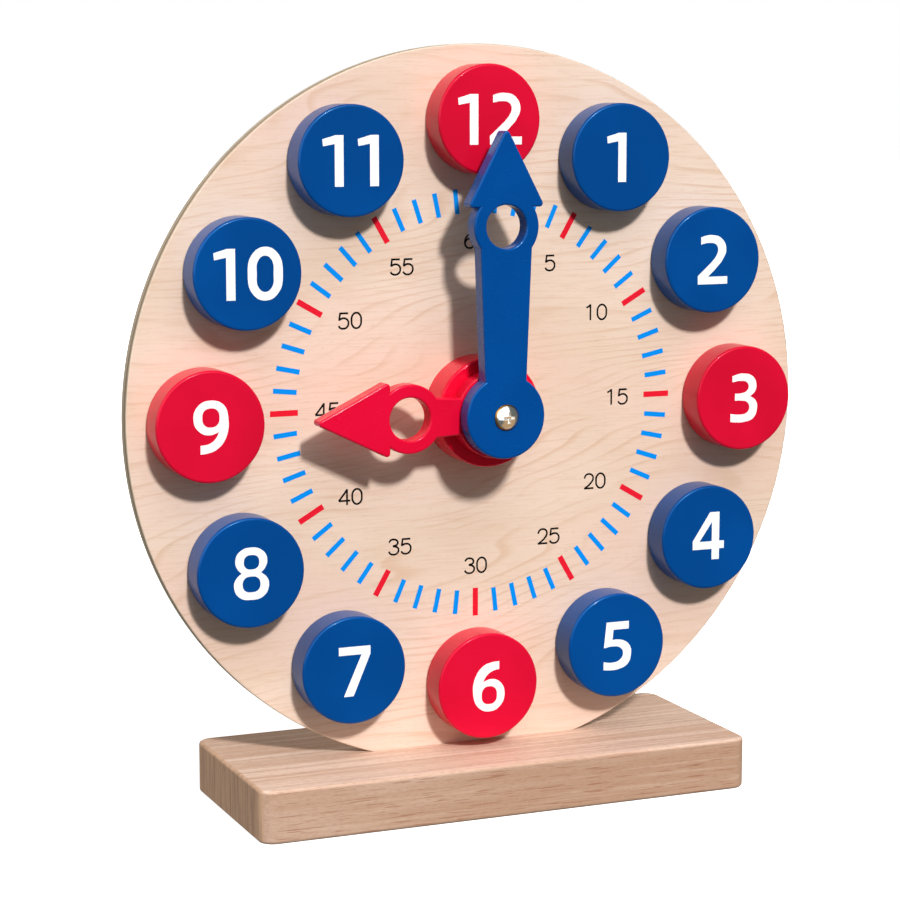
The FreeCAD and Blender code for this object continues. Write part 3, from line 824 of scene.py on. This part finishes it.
BOLD_FIGURES: dict[str, tuple[Line, ...]] = {
    "0": (oval(0.05, 0.08, 6.05, 8.83, 0.735), oval(0.0, 0.05, 2.9, 5.95, 0.77)),
    "1": (
        corners((1.7, 8.5), (1.7, -8.4), (-1.4, -8.4), (-1.4, 5.65), (-5.5, 4.9), (-5.7, 7.2),
                (-1.2, 8.5)),
    ),
    "2": (
        corners((-4.95, 8.15))
        + bends((-3.0, 8.7), (-0.8, 8.9), (3.2, 7.7), (5.15, 3.9), (3.75, 0.1), (1.5, -2.5))
        + corners((-2.0, -5.8), (5.7, -5.8), (5.7, -8.45), (-6.05, -8.45), (-6.1, -5.5))
        + bends((-2.67, -2.5), (0.0, 0.0), (1.55, 2.2), (1.9, 3.9), (1.1, 5.5), (-1.5, 6.15))
        + corners((-4.95, 5.65)),
    ),
    "3": (
        corners((-4.85, 8.1))
        + bends((-2.7, 8.7), (-0.4, 8.9), (3.4, 7.8), (5.0, 4.7), (4.35, 2.2))
        + corners((2.5, 0.6))
        + bends((4.7, -0.9), (5.4, -3.4), (4.0, -7.2), (-0.1, -8.6), (-2.8, -8.65))
        + corners((-5.4, -8.35), (-5.4, -5.45))
        + bends((-1.75, -5.85), (1.3, -5.2), (2.2, -3.4), (1.3, -1.5), (-1.3, -0.8))
        + corners((-3.7, -0.75), (-3.7, 1.75))
        + bends((-0.9, 1.85), (1.2, 2.7), (1.85, 4.25), (1.0, 5.75), (-1.6, 6.3))
        + corners((-4.85, 5.9)),
    ),
    "4": (
        corners((0.3, 9.15), (4.1, 9.15), (4.1, -1.4), (6.05, -1.4), (6.05, -4.2), (4.1, -4.2),
                (4.1, -8.05), (1.1, -8.05), (1.1, -4.2), (-6.6, -4.2), (-6.6, -1.1)),
        corners((1.1, 5.6), (1.1, -1.4), (-3.9, -1.4)),
    ),
    "5": (
        corners((-4.2, 8.6), (4.55, 8.6), (4.55, 5.8), (-1.45, 5.8), (-1.85, 2.15))
        + bends((0.1, 2.2), (3.3, 1.3), (5.15, -0.6), (5.6, -3.1), (4.2, -7.0), (0.5, -8.65),
                (-2.8, -8.8))
        + corners((-5.3, -8.55), (-5.25, -5.65))
        + bends((-2.0, -6.1), (1.0, -5.35), (2.4, -3.0), (1.3, -0.9), (-1.6, -0.2))
        + corners((-5.2, -0.6)),
    ),
    "6": (
        corners((3.95, 8.6), (3.95, 5.8))
        + bends((1.5, 5.3), (-0.8, 3.8))
        + corners((-2.2, 1.5))
        + bends((0.65, 2.45), (4.1, 1.35), (6.0, -2.6), (4.35, -7.3), (0.25, -9.05),
                (-3.95, -7.3), (-5.95, -2.1), (-4.8, 4.1), (-1.9, 7.4), (1.1, 8.4)),
        oval(0.2, -3.25, 2.9, 3.2),
    ),
    "7": (
        corners((-5.75, 8.35), (5.7, 8.35), (5.7, 5.5), (-0.5, -8.9), (-4.0, -8.9), (2.5, 5.5),
                (-5.75, 5.5)),
    ),
    "8": (
        bends((-0.1, 8.8), (4.1, 7.4), (5.5, 4.5), (4.8, 1.8))
        + corners((3.3, 0.15))
        + bends((5.3, -1.5), (6.05, -3.9), (4.4, -7.7), (-0.1, -8.95), (-4.6, -7.7), (-6.2, -3.9),
                (-5.4, -1.5))
        + corners((-3.5, 0.15))
        + bends((-5.0, 1.8), (-5.65, 4.5), (-4.3, 7.4)),
        oval(0.0, 3.8, 2.7, 2.45),
        oval(-0.08, -3.7, 3.12, 2.68),
    ),
    "9": (
        bends((0.0, 8.85), (4.4, 7.2), (5.95, 2.5), (5.0, -3.8), (2.1, -7.3), (-0.8, -8.5))
        + corners((-3.75, -8.85), (-3.7, -5.95))
        + bends((-0.8, -5.5), (1.45, -3.95))
        + corners((2.7, -1.75))
        + bends((-0.6, -2.6), (-4.0, -1.4), (-6.0, 2.5), (-4.4, 7.2)),
        oval(-0.05, 3.1, 2.95, 3.18),
    ),
}

FINE_FIGURES: dict[str, tuple[Line, ...]] = {
    "0": (oval(0.0, 0.0, 1.75, 2.62, 0.73),),
    "1": (
        corners((-1.5, 1.7))
        + bends((-0.6, 2.1))
        + corners((0.2, 2.75)),
        corners((0.1, 2.8), (0.1, -2.75)),
    ),
    "2": (
        bends((-1.7, 1.1), (-1.2, 2.2), (0.0, 2.65), (1.25, 2.2), (1.7, 1.15), (1.1, -0.3))
        + corners((-1.7, -2.6)),
        corners((-1.85, -2.5), (1.85, -2.5)),
    ),
    "3": (
        bends((-1.75, 1.7), (-0.95, 2.5), (0.1, 2.65), (1.3, 2.1), (1.4, 1.0))
        + corners((-0.3, 0.3)),
        corners((-0.3, 0.3))
        + bends((1.45, -0.3), (1.8, -1.3), (1.2, -2.3), (0.0, -2.65), (-1.25, -2.3),
                (-1.85, -1.5)),
    ),
    "4": (
        corners((0.95, -2.75), (0.95, 2.75)),
        corners((1.1, 2.65), (-2.05, -1.3)),
        corners((-2.1, -1.25), (2.15, -1.25)),
    ),
    "5": (
        corners((1.6, 2.55), (-1.5, 2.55)),
        corners((-1.25, 2.7), (-1.6, 0.15)),
        corners((-1.7, 0.3))
        + bends((-0.1, 0.9), (1.3, 0.4), (1.75, -0.8), (1.2, -2.15), (-0.1, -2.65), (-1.3, -2.3),
                (-1.8, -1.65)),
    ),
    "6": (
        bends((0.9, 2.6), (-0.9, 1.5), (-1.75, -0.5), (-1.3, -2.1), (0.0, -2.65), (1.3, -2.15),
              (1.75, -0.95), (1.2, 0.2), (0.0, 0.6), (-1.2, 0.1), (-1.7, -0.8)),
    ),
}


@dataclass
class Figures:
    """Printed figures, laid on a face that looks along -Y."""

    lift: float = mm(0.05)
    pen_radius: float = mm(0.34)
    bold_steps: int = 8
    fine_steps: int = 6
    seam: float = mm(0.002)

    def _spline(self, curve: bpy.types.Curve, line: Line, shift: float, closed: bool) -> None:
        """Add one line to a curve.

        Args:
            curve: The curve.
            line: The line's knots.
            shift: How far it moves along X, in millimetres.
            closed: Whether its end joins its start.
        """
        spline = curve.splines.new("BEZIER")
        spline.bezier_points.add(len(line) - 1)
        spline.use_cyclic_u = closed
        for point, knot in zip(spline.bezier_points, line):
            point.co = (mm(knot.x + shift), mm(knot.y), 0.0)
            handle = "VECTOR" if knot.sharp else "AUTO"
            point.handle_left_type = point.handle_right_type = handle

    def _as_mesh(self, curve: bpy.types.Curve, centre: Vector, flatten: float) -> bpy.types.Mesh:
        """Make a curve a mesh and lay it on its face.

        Args:
            curve: The curve, drawn about the origin.
            centre: The figures' middle, on the face.
            flatten: How much of the curve's thickness is kept.

        Returns:
            The mesh, in the clock's frame.
        """
        drawn = placed("drawing", curve)
        mesh = worked_out(drawn)
        bpy.data.objects.remove(drawn)
        bpy.data.curves.remove(curve)
        stand_up = Matrix.Rotation(math.radians(90.0), 4, "X")
        thin = Matrix.Diagonal((1.0, 1.0, flatten, 1.0))
        shell = bmesh.new()
        shell.from_mesh(mesh)
        bmesh.ops.transform(shell, matrix=Matrix.Translation(centre) @ stand_up @ thin,
                            verts=shell.verts)
        bmesh.ops.remove_doubles(shell, verts=shell.verts, dist=self.seam)
        bmesh.ops.recalc_face_normals(shell, faces=shell.faces)
        shell.to_mesh(mesh)
        shell.free()
        return mesh

    def bold(self, text: str, offsets: Sequence[float], centre: Vector) -> bpy.types.Mesh:
        """Make bold filled figures.

        Args:
            text: The digits.
            offsets: Each digit's shift along X, in millimetres.
            centre: The middle of the figures, on the face.

        Returns:
            The mesh.
        """
        curve = bpy.data.curves.new("bold_figures", "CURVE")
        curve.dimensions = "2D"
        curve.fill_mode = "BOTH"
        curve.resolution_u = self.bold_steps
        curve.extrude = self.lift / 2
        for digit, shift in zip(text, offsets):
            for line in BOLD_FIGURES[digit]:
                self._spline(curve, line, shift, True)
        return self._as_mesh(curve, centre - Vector((0.0, self.lift / 2, 0.0)), 1.0)

    def fine(self, text: str, spacing: float, centre: Vector) -> bpy.types.Mesh:
        """Make fine figures of one pen width.

        Args:
            text: The digits.
            spacing: From one digit to the next, in millimetres.
            centre: The middle of the figures, on the face.

        Returns:
            The mesh.
        """
        curve = bpy.data.curves.new("fine_figures", "CURVE")
        curve.dimensions = "3D"
        curve.fill_mode = "FULL"
        curve.resolution_u = self.fine_steps
        curve.bevel_depth = self.pen_radius
        curve.bevel_resolution = 2
        curve.use_fill_caps = True
        start = -spacing * (len(text) - 1) / 2
        for place, digit in enumerate(text):
            for line in FINE_FIGURES[digit]:
                self._spline(curve, line, start + spacing * place, digit == "0")
        return self._as_mesh(curve, centre, self.lift / self.pen_radius)


# Sub-assemblies

@dataclass
class Stand:
    """Plinth and dial, with the screws that join them."""

    dial: DialPlace
    steel: TurnedMetal = TurnedMetal("screw_steel", shade(196, 196, 192), shade(150, 146, 140),
                                     roughness=0.30, lines_per_metre=2600.0)

    def dress(self) -> None:
        """Dress the plinth, the dial and their screws."""
        low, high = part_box("plinth_block")
        dress("plinth_block", BlockWood("plinth_hardwood", (high.x - low.x) / 2, high.z))
        dress("dial_board", Plywood("dial_plywood", self.dial.radius, self.dial.centre.z,
                                    self.dial.thickness))
        dress("plinth_screws", self.steel)
        dress("case_screws", self.steel)


@dataclass
class MinuteTrack:
    """Sixty marks and the minute figures, printed on the dial.

    The figures' spacing and places are in millimetres, across and up from the dial's centre.
    """

    dial: DialPlace
    figures: Figures
    centre_x: float = mm(0.02)
    centre_up: float = mm(1.64)
    mark_radius: float = mm(70.2)
    mark_size: Pair = (mm(1.7), mm(8.4))
    fifth_size: Pair = (mm(2.0), mm(9.9))
    minutes: int = 60
    fifth: int = 5
    blue: Ink = Ink("mark_ink_blue", shade(0, 141, 236), shade(30, 150, 226))
    red: Ink = Ink("mark_ink_red", shade(229, 26, 48), shade(226, 66, 76))
    black: Ink = Ink("figure_ink_black", shade(12, 10, 10), shade(34, 28, 26))
    figure_spacing: float = 4.6
    figure_places: dict[int, Pair] = field(default_factory=lambda: {
        60: (0.0, 58.2), 5: (28.2, 49.6), 10: (46.2, 31.75), 15: (54.7, 1.3),
        20: (46.2, -28.5), 25: (28.2, -47.15), 30: (0.1, -55.6), 35: (-28.4, -46.9),
        40: (-46.4, -28.3), 45: (-54.6, 1.7), 50: (-46.3, 32.1), 55: (-27.4, 49.8),
    })

    def _marks(self, minutes: Iterable[int], size: Pair) -> bpy.types.Mesh:
        """Print one kind of mark.

        Args:
            minutes: The minutes that have it.
            size: Its width and its length.

        Returns:
            The marks as one mesh.
        """
        thick = self.figures.lift
        middle = self.dial.centre + Vector((self.centre_x, -thick / 2, self.centre_up))
        out = Matrix.Translation((0.0, 0.0, self.mark_radius))
        shape = Matrix.Diagonal((size[0], thick, size[1], 1.0))
        marks = bmesh.new()
        for minute in minutes:
            turn = Matrix.Rotation(math.tau * minute / self.minutes, 4, "Y")
            bmesh.ops.create_cube(marks, size=1.0,
                                  matrix=Matrix.Translation(middle) @ turn @ out @ shape)
        return finished("marks", marks)

    def build(self) -> None:
        """Print the marks and the figures."""
        fifths = range(0, self.minutes, self.fifth)
        others = [minute for minute in range(self.minutes) if minute % self.fifth]
        piece("minute_marks", self._marks(others, self.mark_size), self.blue, "clock_stand")
        piece("five_minute_marks", self._marks(fifths, self.fifth_size), self.red,
              "clock_stand")
        for minute, (across, up) in self.figure_places.items():
            centre = self.dial.centre + Vector((mm(across), 0.0, mm(up)))
            mesh = self.figures.fine(str(minute), self.figure_spacing, centre)
            piece(f"minute_figure_{minute:02d}", mesh, self.black, "clock_stand")


@dataclass
class NumberDiscs:
    """Twelve painted discs with their printed hours, on dowels.

    The offsets place each digit of an hour along X, in millimetres.
    """

    figures: Figures
    red: Paint = Paint("disc_paint_red", shade(221, 12, 52), shade(204, 9, 44), RED_SHINE)
    blue: Paint = Paint("disc_paint_blue", shade(0, 72, 146), shade(0, 65, 134), BLUE_SHINE)
    white: Ink = Ink("hour_ink_white", shade(252, 252, 252), shade(240, 240, 240))
    dowel: DowelWood = DowelWood("dowel_beech")
    offsets: dict[int, Sequence[float]] = field(default_factory=lambda: {
        10: (-6.1, 5.85), 11: (-4.65, 7.8), 12: (-6.0, 6.05),
    })

    @staticmethod
    def bank(hour: int) -> Bank:
        """Quarter hours are red, the others blue."""
        return Bank.RED if hour % 3 == 0 else Bank.BLUE

    def build(self) -> None:
        """Dress the discs and the dowels, and print the hours."""
        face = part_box("number_disc_12")[0].y
        paints = {
            Bank.RED: replace(self.red, face=face),
            Bank.BLUE: replace(self.blue, face=face),
        }
        for hour in range(1, 13):
            node = f"number_disc_{hour:02d}"
            bank = self.bank(hour)
            dress(node, paints[bank])
            dress(f"disc_dowel_{hour:02d}", self.dowel)
            low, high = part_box(node)
            centre = Vector(((low.x + high.x) / 2, low.y, (low.z + high.z) / 2))
            mesh = self.figures.bold(str(hour), self.offsets.get(hour, (0.0,)), centre)
            piece(f"hour_figure_{hour:02d}", mesh, self.white, f"disc_{hour:02d}")


@dataclass
class GearWorks:
    """Red gear case with the gears, shafts and fixings in and behind it."""

    dial: DialPlace
    case: Moulding = Moulding("case_plastic_red", shade(238, 8, 54), shade(230, 5, 46), RED_SHINE)
    nylon: GearNylon = GearNylon("gear_nylon_natural")
    steel: TurnedMetal = TurnedMetal("shaft_steel", shade(205, 205, 200), shade(160, 156, 150))
    brass: TurnedMetal = TurnedMetal("bush_brass", shade(214, 170, 88), shade(168, 124, 58),
                                     roughness=0.26)

    def dress(self) -> None:
        """Dress the case, the gears and the shafts."""
        x, z = self.dial.centre.x, self.dial.centre.z
        dress("gear_case", self.case)
        for node in ("idler_gear", "hour_wheel"):
            dress(node, self.nylon)
        for node in ("minute_arbor", "rear_washer", "rear_nut"):
            dress(node, replace(self.steel, axis_x=x, axis_z=z))
        low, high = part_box("idler_stud")
        dress("idler_stud", replace(self.steel, name="stud_steel", axis_x=(low.x + high.x) / 2,
                                    axis_z=(low.z + high.z) / 2))
        dress("arbor_bush", replace(self.brass, axis_x=x, axis_z=z))


@dataclass
class HandScrew:
    """Domed cross-recessed screw in the middle of the minute hand, turned as one piece."""

    dial: DialPlace
    shank_radius: float = mm(1.22)
    skirt_height: float = mm(0.45)
    skirt_chamfer: float = mm(0.2)
    head_height: float = mm(2.6)
    recess_width: float = mm(1.30)
    recess_reach: float = mm(2.5)
    recess_depth: float = mm(1.5)
    recess_taper: float = 0.62
    dome_steps: int = 14
    turn_steps: int = 72
    seam: float = mm(0.001)
    sharp_angle: float = math.radians(32.0)
    plate: ScrewPlate = ScrewPlate("screw_nickel", shade(232, 230, 226), shade(150, 112, 58))
    bronze_width: float = mm(0.45)

    def _profile(self, radius: float, back: float, face: float) -> list[Pair]:
        """Radii and places along Y of the turned outline, from the shank's end to the dome.

        Args:
            radius: The head's radius.
            back: The shank's end.
            face: The face that the head sits on.

        Returns:
            (radius, y) pairs.
        """
        edge = face - self.skirt_height
        rise = self.head_height - self.skirt_height
        ball = (radius * radius + rise * rise) / (2 * rise)
        sweep = math.asin(radius / ball)
        dome = []
        for step in range(self.dome_steps + 1):
            angle = sweep * (1 - step / self.dome_steps)
            dome.append((ball * math.sin(angle), edge - ball * (math.cos(angle) - math.cos(sweep))))
        return [(0.0, back), (self.shank_radius, back), (self.shank_radius, face),
                (radius - self.skirt_chamfer, face), (radius, face - self.skirt_chamfer)] + dome

    def _turned(self, profile: Sequence[Pair]) -> bpy.types.Mesh:
        """Spin a profile round the dial's axis.

        Args:
            profile: (radius, y) pairs that start and end on the axis.

        Returns:
            The closed mesh, in the clock's frame.
        """
        lathe = bmesh.new()
        axis = Vector((self.dial.centre.x, 0.0, self.dial.centre.z))
        points = [lathe.verts.new(axis + Vector((radius, y, 0.0))) for radius, y in profile]
        edges = [lathe.edges.new(pair) for pair in zip(points, points[1:])]
        bmesh.ops.spin(lathe, geom=points + edges, cent=axis, axis=(0.0, 1.0, 0.0),
                       angle=math.tau, steps=self.turn_steps, use_merge=True)
        bmesh.ops.remove_doubles(lathe, verts=lathe.verts, dist=self.seam)
        bmesh.ops.recalc_face_normals(lathe, faces=lathe.faces)
        return finished("turned_screw", lathe)

    def _recess(self, top: float) -> bpy.types.Mesh:
        """Make the cross that is sunk in the dome.

        Args:
            top: The dome's foremost place along Y.

        Returns:
            A cross with tapered arms, in the clock's frame.
        """
        cross = bmesh.new()
        made = bmesh.ops.create_cube(cross, size=1.0)
        depth = 2 * self.recess_depth
        shape = Matrix.Diagonal((self.recess_width, depth, self.recess_width, 1.0))
        bmesh.ops.transform(cross, matrix=shape, verts=made["verts"])
        cross.normal_update()
        sides = [face for face in cross.faces if abs(face.normal.y) < 0.5]
        arms = bmesh.ops.extrude_discrete_faces(cross, faces=sides)["faces"]
        for arm in arms:
            bmesh.ops.translate(cross, verts=arm.verts,
                                vec=arm.normal * (self.recess_reach - self.recess_width / 2))
        deep = [vert for vert in cross.verts if vert.co.y > 0.0]
        taper = Matrix.Diagonal((self.recess_taper, 1.0, self.recess_taper, 1.0))
        bmesh.ops.transform(cross, matrix=taper, verts=deep)
        middle = Vector((self.dial.centre.x, top, self.dial.centre.z))
        bmesh.ops.translate(cross, verts=cross.verts, vec=middle)
        return finished("cross_recess", cross)

    def _cut(self, mesh: bpy.types.Mesh, tool_mesh: bpy.types.Mesh) -> bpy.types.Mesh:
        """Cut one mesh out of another.

        Args:
            mesh: What is cut.
            tool_mesh: What cuts.

        Returns:
            What is left, shaded smooth between its sharp edges.
        """
        work = placed("screw_blank", mesh)
        tool = placed("recess_tool", tool_mesh)
        cut = work.modifiers.new("recess", "BOOLEAN")
        cut.operation = "DIFFERENCE"
        cut.object = tool
        left = worked_out(work)
        for item in (work, tool):
            bpy.data.objects.remove(item)
        left.shade_smooth()
        left.set_sharp_from_angle(angle=self.sharp_angle)
        return left

    def build(self) -> bpy.types.Object:
        """Turn the screw, sink its cross and set it in the place of the plain one.

        Returns:
            The screw.
        """
        low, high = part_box("hand_screw")
        radius = (high.x - low.x) / 2
        face = low.y + self.head_height
        mesh = self._cut(self._turned(self._profile(radius, high.y, face)), self._recess(low.y))
        plate = replace(self.plate, axis_x=self.dial.centre.x, axis_z=self.dial.centre.z,
                        dome_radius=radius - self.bronze_width)
        screw = piece("domed_hand_screw", mesh, plate, "minute_works")
        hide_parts("hand_screw")
        return screw


@dataclass
class Hands:
    """Hour hand and minute hand."""

    red: Moulding = Moulding("hand_plastic_red", shade(229, 9, 55), shade(221, 7, 47), RED_SHINE)
    blue: Moulding = Moulding("hand_plastic_blue", shade(0, 73, 149), shade(0, 68, 141),
                              BLUE_SHINE)

    def dress(self) -> None:
        """Dress the hands."""
        dress("hour_hand", self.red)
        dress("minute_hand", self.blue)


# Studio

class LampKind(Enum):
    """A distant sun or a glowing square."""

    SUN = "SUN"
    AREA = "AREA"


@dataclass(frozen=True)
class Lamp:
    """One lamp that points at the dial's centre, hidden from the camera.

    It hangs at a distance in a direction from the centre. A square's size is its width in metres,
    and a sun's angle is how wide it looks in degrees.
    """

    name: str
    kind: LampKind
    toward: Triple
    distance: float
    energy: float
    size: float = 0.0
    angle: float = 0.0
    colour: Colour = WHITE
    diffuse: bool = True
    glossy: bool = True

    @classmethod
    def card(cls, name: str, toward: Triple, distance: float, size: float, brightness: float,
             colour: Colour = WHITE) -> "Lamp":
        """Make a card that metal mirrors.

        Args:
            name: Its name.
            toward: The direction from the clock to the card.
            distance: How far off it hangs.
            size: Its width and height.
            brightness: How bright it looks, with one for white.
            colour: Its colour.

        Returns:
            The card as a lamp.
        """
        energy = brightness * math.pi * size * size
        return cls(name, LampKind.AREA, toward, distance, energy, size=size, colour=colour)

    def hang(self, centre: Vector) -> bpy.types.Object:
        """Hang the lamp.

        Args:
            centre: The dial's centre.

        Returns:
            The lamp's object.
        """
        data = bpy.data.lights.new(self.name, self.kind.value)
        data.energy = self.energy
        data.color = self.colour
        if self.kind is LampKind.SUN:
            data.angle = math.radians(self.angle)
        else:
            data.size = self.size
        lamp = placed(self.name, data)
        lamp.visible_camera = False
        lamp.visible_diffuse = self.diffuse
        lamp.visible_glossy = self.glossy
        way = Vector(self.toward).normalized()
        lamp.location = centre + way * self.distance
        aim(lamp, -way)
        return lamp


@dataclass
class Studio:
    """White sweep, soft lights and the camera."""

    dial: DialPlace
    floor_half: float = 6.0
    sweep: PaleFloor = PaleFloor("white_sweep")
    camera_from_dial: Triple = (mm(-340.95), mm(-790.80), mm(111.59))
    target_from_dial: Triple = (mm(-9.61), 0.0, mm(-14.20))
    lens: float = 100.0
    sensor: float = 36.0
    clip: Pair = (0.01, 50.0)
    room_level: float = 0.155
    room_tint: Colour = (0.97, 1.04, 0.97)
    lamps: tuple[Lamp, ...] = (
        Lamp("key", LampKind.SUN, (0.02, -1.0, 0.71), 2.0, 3.05, angle=5.5),
        Lamp("side", LampKind.AREA, (-1.0, 0.12, 0.35), 1.6, 9.5, size=1.0),
        Lamp("top", LampKind.AREA, (0.1, -0.72, 1.0), 2.6, 23.0, size=1.9),
        Lamp("card", LampKind.AREA, (-0.62, -0.66, 0.44), 1.5, 20.0, size=1.5, diffuse=False),
        Lamp("rear", LampKind.SUN, (0.45, 1.0, -0.02), 2.0, 2.3, angle=12.0, glossy=False),
    )
    front_cards: tuple[Lamp, ...] = (
        Lamp.card("screw_card", (-0.30, -0.87, 0.33), 1.0, 1.7, 1.54),
        Lamp.card("warm_card", (0.36, -0.62, -0.52), 0.12, 0.18, 0.40, (1.0, 0.52, 0.14)),
    )
    rear_cards: tuple[Lamp, ...] = (Lamp.card("rear_card", (0.25, 1.0, 0.35), 1.0, 1.2, 0.9),)
    rear_metal: tuple[str, ...] = ("case_screws", "minute_arbor", "rear_washer", "rear_nut")

    def _lay_floor(self) -> None:
        """Lay the white floor."""
        sweep = bmesh.new()
        bmesh.ops.create_grid(sweep, x_segments=1, y_segments=1, size=self.floor_half)
        floor = placed("floor", finished("floor", sweep))
        floor.data.materials.append(self.sweep.material())
        floor.visible_diffuse = False
        floor.visible_glossy = False

    def _light_room(self) -> None:
        """Fill the room with white that the camera sees in full and the clock sees dimmed."""
        world = bpy.data.worlds.new("white_room")
        world.use_nodes = True
        room = NodeTree(world.node_tree)
        dim = room.node("ShaderNodeBackground", None,
                        {"Color": self.room_tint, "Strength": self.room_level})
        bright = room.node("ShaderNodeBackground", None, {"Color": WHITE})
        path = room.node("ShaderNodeLightPath")
        mix = room.node("ShaderNodeMixShader", None, {
            0: path.outputs["Is Camera Ray"], 1: dim.outputs[0], 2: bright.outputs[0]})
        room.node("ShaderNodeOutputWorld", None, {"Surface": mix.outputs[0]})
        bpy.context.scene.world = world

    def _set_camera(self) -> None:
        """Stand the camera where the photograph was taken."""
        data = bpy.data.cameras.new("camera")
        data.lens = self.lens
        data.sensor_width = self.sensor
        data.clip_start, data.clip_end = self.clip
        camera = placed("camera", data)
        stand = Vector(self.camera_from_dial)
        camera.location = self.dial.centre + stand
        aim(camera, Vector(self.target_from_dial) - stand)
        bpy.context.scene.camera = camera

    def _light_only(self, name: str, pieces: Sequence[bpy.types.Object],
                    cards: Sequence[Lamp]) -> None:
        """Hang cards that only some pieces mirror.

        Args:
            name: The pieces' name together.
            pieces: The pieces.
            cards: The cards.
        """
        lit = bpy.data.collections.new(name)
        for item in pieces:
            lit.objects.link(item)
        for card in cards:
            card.hang(self.dial.centre).light_linking.receiver_collection = lit

    def light_metal(self, screw: bpy.types.Object) -> None:
        """Hang the cards that the screw and the fixings at the back mirror.

        Args:
            screw: The domed screw.
        """
        self._light_only("front_metal", [screw], self.front_cards)
        rear = [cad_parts[node] for node in self.rear_metal]
        self._light_only("rear_metal", rear, self.rear_cards)

    def build(self) -> None:
        """Set up floor, room, lamps and camera."""
        self._lay_floor()
        self._light_room()
        for lamp in self.lamps:
            lamp.hang(self.dial.centre)
        self._set_camera()
        bpy.context.scene.view_settings.view_transform = "Standard"
        bpy.context.scene.view_settings.look = "None"


def main() -> None:
    """Build every sub-assembly in order."""
    logging.basicConfig(level=logging.INFO, format="%(message)s")
    dial = DialPlace.measured()
    figures = Figures()
    studio = Studio(dial)
    studio.build()
    Stand(dial).dress()
    MinuteTrack(dial, figures).build()
    NumberDiscs(figures).build()
    GearWorks(dial).dress()
    Hands().dress()
    studio.light_metal(HandScrew(dial).build())


if __name__ == "__main__":
    main()
